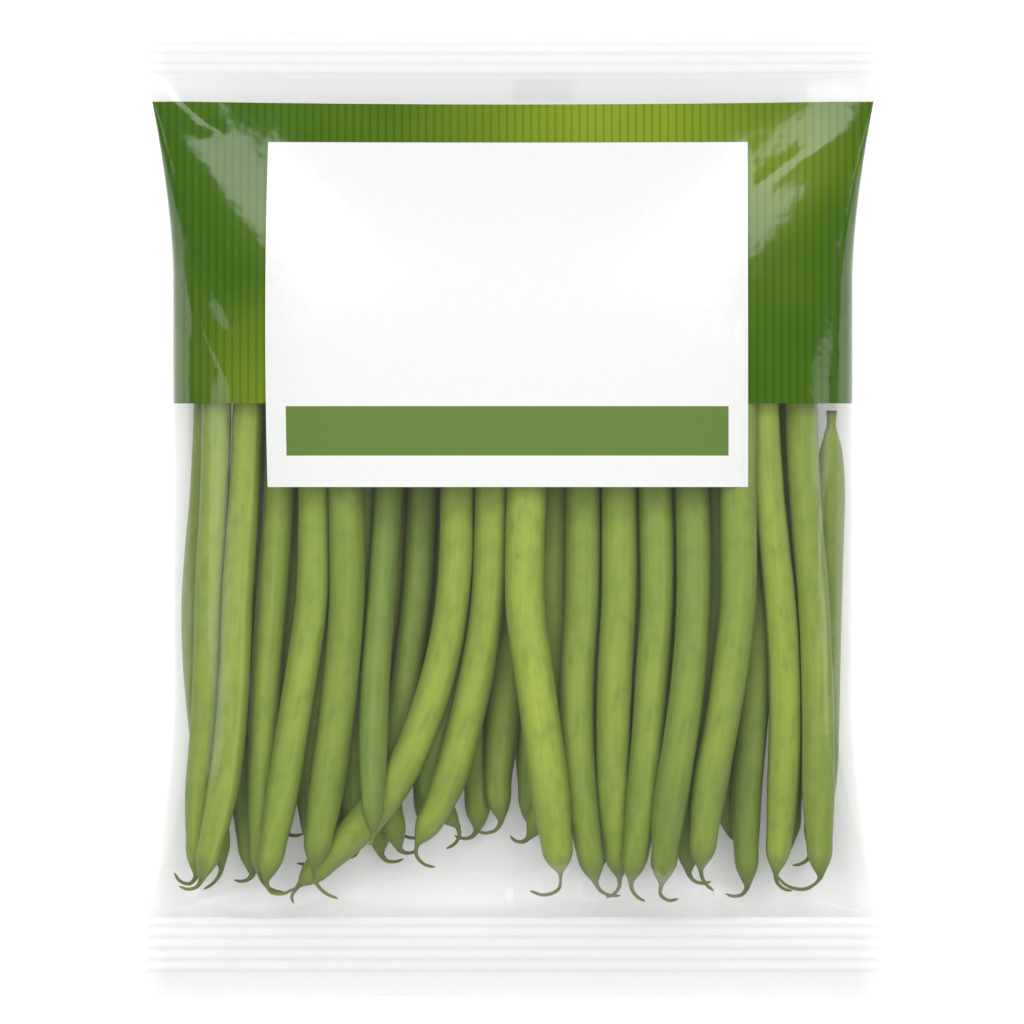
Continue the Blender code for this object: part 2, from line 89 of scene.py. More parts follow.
# Relief of a pod. The first two pairs are millimetres from the cap's end and from the taper's
# start, between which the seeds fade in and out.
SEEDS_IN = (-3.0, 5.0)
SEEDS_OUT = (3.0, 11.0)
SEED_PITCHES = (0.9, 1.12)       # least and most, as shares of the seed spacing
SEED_FULLNESS = (0.35, 1.0)
SEED_SPREAD = 1.4                # above 1, the seeds keep to the two broad sides
SLOW_WAVER = (0.012, 11.0, 17.0)     # strength, and least and most millimetres to a radian
QUICK_WAVER = (0.008, 4.0, 7.0)
GROOVE_DEPTH = 0.35      # beside the suture, as a share of its height
GROOVE_AWAY = 2.2        # and how far off it lies, in widths of the suture
STALK_RIBS = 5
STALK_RIB_HEIGHT = 0.07  # as a share of the radius
RIBS_END = (-0.6, 0.4)   # millimetres from the cap's start between which the ribs fade out
COLLAR_HEIGHT = 0.16
COLLAR_WIDTH = 0.55
CUT_DISH = 0.25          # millimetres that the middle of the cut end is hollow

# Places where a pod changes colour, in millimetres from its cap's or its tail's start
STALK_COLOUR = (-0.5, 3.0)
TAIL_COLOUR = (-6.0, 0.5)
TAIL_COLOUR_POWER = 1.5
SUTURE_COLOUR = (0.0, 4.0)
SUTURE_COLOUR_WIDTH = 1.1 * SUTURE_WIDTH
CUT_COLOUR = 0.9
# Painted shade: how tightly the deeper green painted on a pod's sides keeps to where they face
# across
FLANK_SHADE_POWER = 3

# Noise along a pod: its scale across and along, which is 1000 over the size of a mark in
# millimetres, then its detail and roughness
POD_PATTERNS = (
    (125.0, 40.0, 3.0, 0.5),         # clouds, 8 across and 25 long
    (500.0, 200.0, 4.0, 0.55),       # mottle, 2 across and 5 long
    (2000.0, 50.0, 4.0, 0.6),        # fibres, 0.5 across and 20 long
    (600.0, 14.0, 2.0, 0.5),         # streaks, 1.7 across and 70 long
)
PORE_SCALE = 420.0       # pores lie 2.4 mm apart
NICK_SCALE = 130.0       # nicks could lie 7.7 mm apart, and most of them are left out
SCUFF_SCALE = 700.0      # scuffs are about 1.4 mm across
HUE_SWING = 0.9

# Pods whose colour is set: share of yellow, brightness, and strength of their streaks
FRONT_TINTS = (
    (0.62, 1.00, 0.5), (0.42, 0.98, 0.5), (0.36, 0.94, 0.5), (0.06, 0.88, 0.4),
    (0.48, 0.98, 0.5), (0.66, 1.00, 0.8), (0.40, 0.94, 0.5), (0.46, 0.98, 0.7),
    (0.45, 1.02, 0.4), (0.56, 1.00, 0.4), (0.36, 0.96, 0.6), (0.40, 0.96, 0.5),
    (0.44, 0.92, 0.5), (0.26, 0.90, 0.5), (0.38, 0.90, 0.5), (0.72, 1.08, 0.3),
)
POD_TINTS = {
    "bean_middle_01": (0.52, 0.76, 0.4),
    "bean_middle_02": (0.40, 0.82, 0.4),
    "bean_middle_06": (0.20, 0.80, 0.5),
    **{f"bean_front_{n:02}": tint for n, tint in enumerate(FRONT_TINTS, 1)},
}
YELLOW_RANGE = (0.1, 0.6)
BRIGHT_RANGE = (0.80, 0.95)
STREAK_RANGE = (0.3, 0.8)

# Turn of the suture about the pod, in degrees, where it shows on top
SUTURE_TURNS = {
    "bean_front_02": 152.0,
    "bean_front_06": 38.0,
    "bean_front_08": 118.0,
    "bean_front_13": 24.0,
}
TURN_SPREAD = 16.0

# The bag's outer form, as its solid has it
BAG_END = 99.6
TOP_SEAL = 89.3
BOTTOM_SEAL = -83.3
SEAL_HALF_WIDTH = 75.0
WAIST_HALF_WIDTH = 69.5
WAIST_TOP = 48.0
WAIST_BOTTOM = -40.0
CROWN = 31.8
SIDE_FOLD_HEIGHT = 9.5
SEAL_HEIGHT = 7.0
FLAT_HALF_WIDTH = 45.0
FLAT_TOP = 45.0
FLAT_BOTTOM = -62.0
LOW_SPOTS = ((-36.0, -49.0), (36.0, -49.0), (-14.0, 33.0))
LOW_SPOT_HALF = 5.0
LOW_SPOT_REACH = 9.0
BACK_RISE = 0.8
FLARE_POWER = 1.6
CROWN_POWER = 3.4
BOTTOM_POWER = 4.0
TOP_POWER = 1.8
BOTTOM_SHOULDER = -30.0
TOP_SHOULDER = 25.0
CHANNEL = (-1.2, -0.4, 12.8, 13.6)
CHANNEL_DEPTH = 0.9

# Fine shape of the film
SKIN_HALF = 0.12         # half the gap between the two sheets in a seal
UNDER_CROWN = 0.3        # the front sheet starts this far below the solid's front
OVER_BEANS = 0.4         # height at which the film is drawn over a pod
LEAST_OVER = 0.25        # and the least that smoothing leaves of it
DRAPE_STEPS = 420        # passes that draw the film down over the beans
SMOOTH_STEPS = 14        # passes that take out the small bumps
ROW_STEP = 1.0
SEAL_STEP = 0.28
COLUMN_STEP = 1.0
RIB_HEIGHT = 0.34
TOP_RIBS = (90.3, 1.95, 4.6)       # first crest, pitch, how many
BOTTOM_RIBS = (-84.4, -2.3, 5.0)
RIB_SHARPNESS = 0.8      # below 1, a crest is broader than the valley beside it
RIB_FADE = (-0.6, -0.3)  # where the first rib comes in, in pitches before its crest
SEAL_WAVE = 0.55         # how far a seal's corners curl up and down
# Millimetres past a seal's inner edge, and from the bag's middle line, with the share of the
# waves there
WAVES_PAST = ((-9.0, 0.0, 10.0), (0.0, 0.35, 1.0))
WAVES_ACROSS = ((0.0, 40.0, 75.0), (0.25, 0.45, 1.0))
# Millimetres to a radian, strength, start at the top and at the bottom, and slant
WAVES = ((7.3, 0.55, 0.6, 2.9, 0.4), (19.0, 0.6, 1.1, -0.5, 0.0))
WAVE_SLANT = 3.1
GATHER_HEIGHT = 0.28
GATHER_REACH = 7.0       # millimetres over which the puckers die away from a seal
GATHER_START = 3.0       # and over which they rise
# Millimetres to a radian of the puckers, and their start at the top and at the bottom
GATHERS = ((2.9, 0.3, 1.7), (11.0, 2.0, 0.4))
FREE_EDGE = 3.0          # creases fade out this near the sides
CREASE_FADE = (0.0, 0.35, 0.7, 1.0)      # shares of a crease where it rises and sinks
CREASE_BEND = 0.06       # and how far it bows aside, as a share of its length
CREASE_SHARPNESS = 1.5
TOP_STEP = 0.7           # millimetres between the places where a pod's height is taken
SIDE_WELD = 1.5          # the two sheets come together this near the sides
END_WELD = 1.0           # and this near the ends
BOW = 0.6                # the print bends this much with the filled front
BOW_MIDDLE = 40.0
BOW_HALF = 38.0
BOW_SIDE = 12.0          # how far the bend reaches from the panel's left edge
BOW_WIDTH = 66.0
BOW_TOP = 9.0            # and from the band's top edge

# Creases of the front: both ends, half width and height
CREASES = (
    ((-69.0, 69.0), (-53.0, 33.0), 1.7, 0.55),
    ((-68.0, 53.0), (-55.0, 22.0), 2.4, 0.6),
    ((64.5, 10.0), (64.9, -28.0), 0.7, 0.35),
    ((-73.0, -82.0), (-52.0, -74.0), 1.6, 0.5),
    ((-60.0, -82.6), (-38.0, -79.5), 1.4, 0.4),
    ((73.0, -82.0), (54.0, -73.0), 1.8, 0.5),
    ((70.0, 78.0), (47.0, 62.0), 2.2, 0.4),
    ((66.0, 60.0), (52.0, 24.0), 2.0, 0.35),
    ((-72.0, 88.0), (-58.0, 76.0), 2.0, 0.45),
    ((24.0, -82.8), (36.0, -78.5), 1.5, 0.3),
)

# Fin seam
SEAM_WIDTH = 12.2
SEAM_ENDS = (-82.3, 88.3)
SEAM_DROP = 0.34         # from the back sheet down to the middle of the flap
SEAM_CRIMP = 0.07        # height and pitch of its crimps, and where they come in and fade out
SEAM_PITCH = 1.6
SEAM_CRIMPED = (1.0, 2.5, 10.5, 11.8)
SEAM_WAVE = 0.06         # height of its slow waves, and their millimetres to a radian
SEAM_WAVE_RUN = 6.0
SEAM_ROOT = 0.9          # the flap comes up to the back sheet over this width, by this share
SEAM_CUTS = (48, 160)
VENTS = ((-28.0, 62.0), (28.0, 62.0))
VENT_RADIUS = 2.5
VENT_RIM = 1.25          # points this near, in radii, are moved onto the round rim

# Print
BAND = (21.9, 83.7)
PANEL_X = (-50.0, 48.0)
PANEL_Y = (4.8, 75.5)
STRIP_X = (-46.0, 44.0)
STRIP_Y = (11.2, 21.3)
# Soft bright places in the print: middle, reach across and along, strength
GLOWS = (
    ((19.0, 81.0), (33.0, 16.0), 0.98),
    ((-52.0, 25.0), (9.0, 17.0), 0.5),
    ((57.0, 72.0), (11.0, 18.0), 0.3),
    ((62.0, 40.0), (12.0, 16.0), 0.12),
)

FILM_INDEX = 1.5
FILM_BORDER = 50.0       # degrees past which the film's welded border stays crisp
RIPPLE_SCALE = 160.0     # ripples of cast film lie 6 mm apart
SOFT_SCALE = 45.0        # the print's soft blend changes every 22 mm
GRAIN_SCALE = 900.0      # the mottle of a flat print is 1 mm across
# The seam's flap clings to the back, so that it hardly mirrors or shades on its own
FUSED_INDEX = 1.08
FUSED_PASSED = 0.995
CLEAR, SEALED, GREEN, WHITE, STRIP, FUSED = range(6)

# Stage, in metres
FLOOR_SIZE = 6.0
FLOOR_HEIGHT = -0.0002   # just under the bag, so that the two don't share a plane
VIEW_MIDDLE = (-0.0002, -0.0003)
CLIPPED = (0.1, 50.0)
OVERHEAD_PLACE = (0.0, 0.15, 1.6)
OVERHEAD_SIZE = (2.2, 2.2)
# The boxes that the film mirrors: place, size and share of their power
SIDE_BOXES = (
    ("left box", (-0.42, 0.74, 0.92), (0.42, 0.46), 1.4),
    ("right box", (0.42, 0.74, 0.92), (0.42, 0.46), 1.4),
    ("left strip", (-1.04, 0.05, 0.6), (0.3, 0.26), 0.25),
    ("right strip", (1.13, 0.0, 0.4), (0.3, 0.3), 0.3),
)


def tone(name, description, hex_colour):
    return FloatVectorProperty(
        name=name, description=description, subtype="COLOR", default=linear(hex_colour))


def metres(name, description, default):
    return FloatProperty(
        name=name, description=description, default=default, unit="LENGTH", precision=5)


def portion(name, description, default):
    return FloatProperty(
        name=name, description=description, default=default, min=0.0, max=1.0, subtype="FACTOR")


def watts(name, description, default):
    return FloatProperty(name=name, description=description, default=default, unit="POWER")


class PodSettings(bpy.types.PropertyGroup):
    """Mesh and colours of the beans."""

    sides: IntProperty(name="Sides", description="Sides of a pod", default=24, min=12)
    rings: IntProperty(name="Rings", description="Cuts along a pod", default=128, min=40)
    seed_pitch: metres("Seed spacing", "Distance between seeds", 0.0098)
    seed_swell: metres("Seed swell", "How far a seed pushes the pod out", 0.00010)
    suture: metres("Suture", "Height of the seam along a pod", 0.00011)
    bluish: tone("Bluish pod", "Skin of the bluest pods", "#76903E")
    yellowish: tone("Yellowish pod", "Skin of the yellowest pods", "#9EAD3E")
    # Painted shade: the deeper green painted on a pod's sides, where they face across rather than
    # up
    rim: tone("Flank", "Deeper green of a pod's flanks", "#557120")
    tail: tone("Tail", "Thin tail of a pod", "#5F6B35")
    stalk: tone("Stalk", "Stalk above the pod", "#8F9A55")
    cut: tone("Cut end", "Dried end of the stalk", "#8A6E3C")


class FilmSettings(bpy.types.PropertyGroup):
    """Colours and fineness of the bag's film and print."""

    passed: portion("Light passed", "Share of light that one sheet lets through", 0.865)
    haze: portion("Haze", "Milky share of one sheet", 0.008)
    seal_haze: portion("Seal haze", "Milky share of one crimped sheet", 0.38)
    line_pitch: metres("Line pitch", "Distance between the print's fine lines", 0.00165)
    dark_green: tone("Dark green", "Ink of the band", "#305204")
    bright_green: tone("Bright green", "Ink of the band's bright places", "#6B7F19")
    strip_green: tone("Strip green", "Ink of the strip", "#516A2F")
    white: tone("White", "Ink of the panel", "#C4C5C3")


class StageSettings(bpy.types.PropertyGroup):
    """Floor, camera and lights."""

    floor_colour: tone("Floor", "Colour of the floor", "#F3F3F3")
    light_table: portion("Light table", "Glow of the floor, which takes out its shadows", 0.2)
    view_width: metres("View width", "Width that the camera sees", 0.20992)
    camera_height: metres("Camera height", "Height of the camera over the floor", 6.0)
    soft_box_power: watts("Soft box", "Power of the big box overhead", 47.0)
    card_power: watts("Side boxes", "Power of each box that the film mirrors", 1.7)
    sky: portion("Sky", "Strength of the even light from all round", 0.3)


def deselect():
    for thing in bpy.context.selected_objects:
        thing.select_set(False)


def active(name):
    """The primitive that was just added, named."""
    thing = bpy.context.object
    thing.name = name
    thing.data.name = name
    return thing


def choose(thing, kind, wanted):
    """In edit mode, selects only the faces or edges for which wanted is true."""
    mesh = bmesh.from_edit_mesh(thing.data)
    bpy.context.tool_settings.mesh_select_mode = (kind == "verts", kind == "edges", kind == "faces")
    for item in (*mesh.faces, *mesh.edges, *mesh.verts):
        item.select_set(False)
    for item in getattr(mesh, kind):
        if wanted(item):
            item.select_set(True)
    mesh.select_flush_mode()
    bmesh.update_edit_mesh(thing.data)


def points_of(mesh):
    flat = np.empty(len(mesh.vertices) * 3)
    mesh.vertices.foreach_get("co", flat)
    return flat.reshape(-1, 3)


def set_points(mesh, points):
    mesh.vertices.foreach_set("co", np.asarray(points, float).ravel())
    mesh.update()


def vector_attribute(mesh, name, values):
    layer = mesh.attributes.new(name, "FLOAT_VECTOR", "POINT")
    layer.data.foreach_set("vector", np.asarray(values, float).ravel())


def add_node(tree, kind, links=None, **settings):
    """Adds a shader node, sets its properties and its inputs, by name or number, and gives its
    outputs. A value that is a socket is linked, and any other is set on the input itself."""
    node = tree.nodes.new(f"ShaderNode{kind}")
    for name, value in settings.items():
        setattr(node, name, value)
    for name, value in (links or {}).items():
        socket = node.inputs[name]
        if isinstance(value, bpy.types.NodeSocket):
            tree.links.new(value, socket)
        elif socket.type == "RGBA":
            socket.default_value = (*value[:3], 1.0)
        else:
            socket.default_value = value
    return node.outputs


def new_material(name):
    material = bpy.data.materials.new(name)
    material.use_nodes = True
    tree = material.node_tree
    tree.nodes.clear()
    return material, tree


def smooth_through(at, values, wanted):
    """Cubic curve through the values, read at the wanted places."""
    slopes = np.gradient(values, at, axis=0)
    n = np.clip(np.searchsorted(at, wanted) - 1, 0, len(at) - 2)
    run = at[n + 1] - at[n]
    t = (wanted - at[n]) / run
    if values.ndim > 1:
        run, t = run[:, None], t[:, None]
    start = values[n] * (1 + 2 * t) * (1 - t) ** 2 + slopes[n] * run * t * (1 - t) ** 2
    end = values[n + 1] * t**2 * (3 - 2 * t) + slopes[n + 1] * run * t**2 * (t - 1)
    return start + end


def node_rings(node):
    """Middles and radii, in millimetres, of the rings of a bean's solid from stalk to tail."""
    mesh = bmesh.new()
    mesh.from_mesh(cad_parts[node].data)
    bmesh.ops.remove_doubles(mesh, verts=mesh.verts, dist=MERGE)
    mesh.faces.ensure_lookup_table()
    cut = max(mesh.faces, key=lambda face: face.calc_center_median().y)
    on_cut = cut.verts[0].co
    rings = [{v for v in mesh.verts if abs((v.co - on_cut).dot(cut.normal)) < FLAT_WITHIN}]
    seen = set(rings[0])
    while True:
        beyond = {e.other_vert(v) for v in rings[-1] for e in v.link_edges} - seen
        if not beyond:
            break
        rings.append(beyond)
        seen |= beyond
    points = [np.array([v.co for v in ring]) / MM for ring in rings]
    mesh.free()
    middles = np.array([p.mean(axis=0) for p in points])
    radii = np.array([
        np.linalg.norm(p - middle, axis=1).mean() for p, middle in zip(points, middles)
    ])
    return middles, radii


class PodLine:
    """The line of one bean, from its cut stalk to the end of its tail."""

    def __init__(self, node):
        self.middles, self.radii = node_rings(node)
        steps = np.linalg.norm(np.diff(self.middles, axis=0), axis=1)
        self.run = np.concatenate([[0.0], np.cumsum(steps)])
        self.cap_start, self.cap_end, self.taper_start, self.tail_start = (
            self.run[mark] for mark in NODE_MARKS[1:5])
        self.end = self.run[-1]

    def middle(self, s):
        return smooth_through(self.run, self.middles, s)

    def radius(self, s):
        whole = smooth_through(self.run, self.radii, s)
        slim = np.interp(s, (self.tail_start, self.tail_start + SLIM_OVER), (1.0, TAIL_SLIM))
        slim = slim * (1 + BLUNT * np.exp(-((s - self.tail_start + BLUNT_FROM) / BLUNT_OVER) ** 2))
        end = np.interp(s, (self.end - TAIL_END, self.end), (1.0, TAIL_END_SHARE))
        pod = np.interp(s, (self.cap_start, self.cap_end, self.taper_start, self.tail_start),
                        (1.0, SWELL, SWELL, 1.0))
        return whole * slim * end * pod

    def frame(self, s):
        """Way ahead, way across and way up at places along the line."""
        after = self.middle(np.minimum(s + AHEAD, self.end))
        ahead = after - self.middle(np.maximum(s - AHEAD, 0.0))
        ahead /= np.linalg.norm(ahead, axis=1)[:, None]
        up = np.array([0.0, 0.0, 1.0]) - ahead * ahead[:, 2:3]
        up /= np.linalg.norm(up, axis=1)[:, None]
        return ahead, np.cross(ahead, up), up


POD_LINES = {name: PodLine(name) for name in sorted(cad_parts) if name.startswith("bean_")}


def straight_pod(settings):
    """A straight closed pod of radius 1 and length 1 along Z, to be bent to each bean's line."""
    deselect()
    bpy.ops.mesh.primitive_cylinder_add(
        vertices=settings.sides, radius=1.0, depth=1.0, location=(0.0, 0.0, 0.5),
        end_fill_type="NGON")
    pod = active("straight_pod")
    bpy.ops.object.transform_apply(location=True, rotation=True, scale=True)
    bpy.ops.object.mode_set(mode="EDIT")
    choose(pod, "edges", lambda e: abs(e.verts[0].co.z - e.verts[1].co.z) > 0.5)
    bpy.ops.mesh.subdivide(number_cuts=settings.rings)
    for end in (0.0, 1.0):
        choose(pod, "faces", lambda f: all(abs(v.co.z - end) < MERGE for v in f.verts))
        bpy.ops.mesh.inset(thickness=0.3, depth=0.0)
        bpy.ops.mesh.inset(thickness=0.35, depth=0.0)
        bpy.ops.mesh.poke()
    bpy.ops.object.mode_set(mode="OBJECT")
    return pod


def off_suture(turn):
    """How far round the pod, about in radians, the nearer of its two sutures is."""
    return np.minimum(np.abs(np.sin(turn / 2)), np.abs(np.cos(turn / 2))) * 2


def bell(value, width):
    return np.exp(-(value / width) ** 2)


def pod_relief(line, s, turn, settings, draw):
    """Factor on the radius that gives a pod its seeds, sutures and ribbed stalk."""
    fades = [line.cap_end + away for away in SEEDS_IN]
    fades += [line.taper_start + away for away in SEEDS_OUT]
    pod_share = np.interp(s, fades, (0.0, 1.0, 1.0, 0.0))
    pitch = settings.seed_pitch / MM * draw.uniform(*SEED_PITCHES)
    count = int(line.end / pitch) + 2
    fullness = np.array([draw.uniform(*SEED_FULLNESS) for _ in range(count)])
    place = (s + draw.uniform(0.0, pitch)) / pitch
    seed = np.minimum(place.astype(int), count - 1)
    swell = (0.5 - 0.5 * np.cos(2 * math.pi * place)) * fullness[seed]
    swell = swell * np.abs(np.sin(turn)) ** SEED_SPREAD * settings.seed_swell / MM
    height, least, most = SLOW_WAVER
    waver = height * np.sin(s / draw.uniform(least, most) + draw.uniform(0.0, 6.0))
    height, least, most = QUICK_WAVER
    waver = waver + height * np.sin(s / draw.uniform(least, most) + 2 * turn)
    off = off_suture(turn)
    groove = GROOVE_DEPTH * bell(off - GROOVE_AWAY * SUTURE_WIDTH, SUTURE_WIDTH)
    seam = (bell(off, SUTURE_WIDTH) - groove) * settings.suture / MM
    ribs_end = [line.cap_start + away for away in RIBS_END]
    ribs = STALK_RIB_HEIGHT * np.cos(STALK_RIBS * turn) * np.interp(s, ribs_end, (1.0, 0.0))
    collar = COLLAR_HEIGHT * bell(s - line.cap_start, COLLAR_WIDTH)
    return 1 + ribs + collar + pod_share * (waver + (swell + seam) / line.radius(s))


def bend_pod(pod, line, turn_start, settings, draw):
    """Bends the straight pod along a bean's line, and keeps as attributes its straight place, how
    far each point belongs to the parts that have a colour of their own, and its painted side shade."""
    unit = points_of(pod.data)
    turn = np.arctan2(unit[:, 1], unit[:, 0])
    share = np.hypot(unit[:, 0], unit[:, 1])
    s = np.interp(unit[:, 2], RING_SHARES, line.run[list(NODE_MARKS)])
    ahead, across, up = line.frame(s)
    relief = pod_relief(line, s, turn, settings, draw)
    reach = (line.radius(s) * relief * share)[:, None]
    real = turn + turn_start
    way = np.cos(real)[:, None] * across + DEPTH_SHARE * np.sin(real)[:, None] * up
    dish = np.where(s < line.run[1], CUT_DISH * (1 - share), 0.0)[:, None]
    set_points(pod.data, (line.middle(s) + reach * way + dish * ahead) * MM)
    straight = np.column_stack([np.cos(turn) * share * line.radius(s),
                                np.sin(turn) * share * line.radius(s), s]) * MM
    vector_attribute(pod.data, "straight", straight)
    stalk = 1 - np.interp(s - line.cap_start, STALK_COLOUR, (0.0, 1.0))
    tail = np.interp(s - line.tail_start, TAIL_COLOUR, (0.0, 1.0)) ** TAIL_COLOUR_POWER
    suture = bell(off_suture(turn), SUTURE_COLOUR_WIDTH)
    suture *= np.interp(s - line.cap_start, SUTURE_COLOUR, (0.0, 1.0))
    vector_attribute(pod.data, "places", np.column_stack([stalk, tail, suture]))
    cut = np.interp(s, (0.0, CUT_COLOUR), (1.0, 0.0))
    # Painted shade: sides that face across, away from the light overhead, are marked for a deeper
    # green
    shaded_flank = np.abs(np.cos(real)) ** FLANK_SHADE_POWER * share
    vector_attribute(pod.data, "ends", np.column_stack([cut, shaded_flank, np.zeros_like(cut)]))


def lay_marks(tree, colour, marks):
    """Lays marks over a colour, one after another.

    Each mark comes in as its value goes from low to high, up to its strength, and only as far
    as its share lets it.
    """
    for value, (low, high), strength, share, mark in marks:
        mask = add_node(tree, "MapRange", {0: value, 1: low, 2: high, 4: strength})[0]
        mask = add_node(tree, "Math", {0: mask, 1: share}, operation="MULTIPLY")[0]
        colour = add_node(tree, "Mix", {0: mask, 6: colour, 7: mark},
                          data_type="RGBA")[2]
    return colour


def pod_skin(settings):
    """Skin of a fresh bean pod: waxy, so satin, with fine streaks along it that the eye reads
    as fibre, a paler seam on either side, a darker dry tail and a brown cut end."""
    material, tree = new_material(POD_SKIN)
    tint, places, ends, straight = (
        add_node(tree, "Attribute", attribute_name=name)["Vector"]
        for name in ("tint", "places", "ends", "straight"))
    yellow, bright, streaky = add_node(tree, "SeparateXYZ", {0: tint})
    stalk, tail, suture = add_node(tree, "SeparateXYZ", {0: places})
    cut, shaded_flank, _ = add_node(tree, "SeparateXYZ", {0: ends})
    clouds, mottle, fibres, streaks = (
        add_node(tree, "TexNoise", {
            "Vector": add_node(tree, "Mapping", {
                "Vector": straight, "Scale": (across, across, along)})[0],
            "Scale": 1.0, "Detail": detail, "Roughness": rough})[0]
        for across, along, detail, rough in POD_PATTERNS)

    # The clouds shift the hue along a pod
    shift = add_node(tree, "Math", {0: clouds, 1: HUE_SWING, 2: -HUE_SWING / 2},
                     operation="MULTIPLY_ADD")[0]
    hue = add_node(tree, "Math", {0: yellow, 1: shift}, operation="ADD")[0]
    skin = add_node(tree, "Mix", {
        0: hue, 6: settings.bluish, 7: settings.yellowish}, data_type="RGBA")[2]
    skin = lay_marks(tree, skin, (
        (mottle, (0.45, 0.75), 0.5, 1.0, linear("#5F7B33")),
        (streaks, (0.52, 0.66), 0.34, streaky, linear("#A9B354")),
    ))
    # Fibres are a little lighter and darker in turn
    shade = add_node(tree, "MapRange", {0: fibres, 1: 0.3, 2: 0.7, 3: 0.94, 4: 1.05})[0]
    shade = add_node(tree, "Math", {0: shade, 1: bright}, operation="MULTIPLY")[0]
    skin = add_node(tree, "Mix", {0: 1.0, 6: skin, 7: shade}, data_type="RGBA",
                    blend_type="MULTIPLY")[2]

    pores = add_node(tree, "TexVoronoi", {
        "Vector": straight, "Scale": PORE_SCALE})["Distance"]
    nicks = add_node(tree, "TexVoronoi", {"Vector": straight, "Scale": NICK_SCALE})
    chance = add_node(tree, "SeparateXYZ", {0: nicks["Color"]})[0]
    few = add_node(tree, "MapRange", {0: chance, 1: 0.80, 2: 0.82})[0]
    scuffs = add_node(tree, "TexNoise", {
        "Vector": straight, "Scale": SCUFF_SCALE, "Detail": 2.0})[0]
    # Pale pores, a few brown nicks and dark scuffs, then the parts with their own colours, and a
    # painted
    # shade: either flank, which faces across rather than up, is painted a deeper green for the
    # shade there
    skin = lay_marks(tree, skin, (
        (pores, (0.055, 0.02), 0.45, 1.0, linear("#C9D29A")),
        (nicks["Distance"], (0.075, 0.03), 0.6, few, linear("#6B6330")),
        (scuffs, (0.70, 0.78), 0.35, 1.0, linear("#5E6F2E")),
        (suture, (0.0, 1.0), 0.42, 1.0, linear("#B4BE62")),
        (shaded_flank, (0.0, 1.0), 0.5, 1.0, settings.rim),
        (stalk, (0.0, 1.0), 0.7, 1.0, settings.stalk),
        (tail, (0.0, 1.0), 0.85, 1.0, settings.tail),
        (cut, (0.0, 1.0), 1.0, 1.0, settings.cut),
    ))

    bump = add_node(tree, "Bump", {
        "Height": fibres, "Strength": 0.25, "Distance": 0.00012})[0]
    wax = add_node(tree, "MapRange", {0: clouds, 1: 0.3, 2: 0.7, 3: 0.40, 4: 0.52})[0]
    shader = add_node(tree, "BsdfPrincipled", {
        "Base Color": skin, "Roughness": wax, "Normal": bump,
        "Specular IOR Level": 0.45, "Subsurface Weight": 0.12, "Subsurface Scale": 0.0015,
        "Subsurface Radius": (0.5, 1.0, 0.2)})[0]
    add_node(tree, "OutputMaterial", {"Surface": shader})
    return material


def make_pods(names, settings):
    """Models the named beans from one straight pod."""
    material = bpy.data.materials.get(POD_SKIN) or pod_skin(settings)
    straight = straight_pod(settings)
    for name in names:
        draw = random.Random(f"{POD_SEED} {name}")
        pod = straight.copy()
        pod.data = straight.data.copy()
        pod.name = pod.data.name = f"pod_{name}"
        bpy.context.scene.collection.objects.link(pod)
        turn = SUTURE_TURNS.get(name, draw.uniform(-TURN_SPREAD, TURN_SPREAD))
        bend_pod(pod, POD_LINES[name], math.radians(turn), settings, draw)
        drawn = tuple(draw.uniform(*span) for span in (YELLOW_RANGE, BRIGHT_RANGE, STREAK_RANGE))
        tint = POD_TINTS.get(name, drawn)
        vector_attribute(pod.data, "tint", [tint] * len(pod.data.vertices))
        pod.data.materials.append(material)
        pod.data.shade_smooth()
        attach(pod, "root")
        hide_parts(name)
    bpy.data.objects.remove(straight)


def flare(y):
    """Share of the way from the straight waist to the full width of a seal."""
    top = (y - WAIST_TOP) / (TOP_SEAL - WAIST_TOP)
    bottom = (WAIST_BOTTOM - y) / (WAIST_BOTTOM - BOTTOM_SEAL)
    return np.clip(np.maximum(top, bottom), 0.0, 1.0) ** FLARE_POWER


def half_width(y):
    return WAIST_HALF_WIDTH + (SEAL_HALF_WIDTH - WAIST_HALF_WIDTH) * flare(y)


def fullness(y):
    """1 where the pillow is full, falling to 0 at either seal."""
    bottom = np.clip((BOTTOM_SHOULDER - y) / (BOTTOM_SHOULDER - BOTTOM_SEAL), 0.0, 1.0)
    top = np.clip((y - TOP_SHOULDER) / (TOP_SEAL - TOP_SHOULDER), 0.0, 1.0)
    return np.sqrt(1 - bottom**BOTTOM_POWER) * (1 - top**TOP_POWER)


def lift(y):
    """0 where the back lies flat, rising to 1 at either seal."""
    bottom = np.clip((FLAT_BOTTOM - y) / (FLAT_BOTTOM - BOTTOM_SEAL), 0.0, 1.0)
    top = np.clip((y - FLAT_TOP) / (TOP_SEAL - FLAT_TOP), 0.0, 1.0)
    return 1 - np.sqrt(1 - np.maximum(bottom, top) ** 2)


def fold_height(y):
    return SEAL_HEIGHT + (SIDE_FOLD_HEIGHT - SEAL_HEIGHT) * fullness(y)


def low_spots(x, y):
    """1 where the back touches down, 0 away from there."""
    share = 0.0
    for middle_x, middle_y in LOW_SPOTS:
        away = np.maximum(np.abs(x - middle_x), np.abs(y - middle_y))
        share = np.maximum(share, np.interp(away, (LOW_SPOT_HALF, LOW_SPOT_REACH), (1.0, 0.0)))
    return share


def back_height(x, y):
    base = BACK_RISE * (1 - low_spots(x, y))
    flat = base + (SEAL_HEIGHT - base) * lift(y)
    out = (np.abs(x) - FLAT_HALF_WIDTH) / (half_width(y) - FLAT_HALF_WIDTH)
    rise = 1 - np.sqrt(1 - np.clip(out, 0.0, 1.0) ** 2)
    over_seam = np.interp(x, CHANNEL, (0.0, 1.0, 1.0, 0.0))
    channel = CHANNEL_DEPTH * over_seam * (1 - lift(y)) ** 2
    return flat + (fold_height(y) - flat) * rise + channel


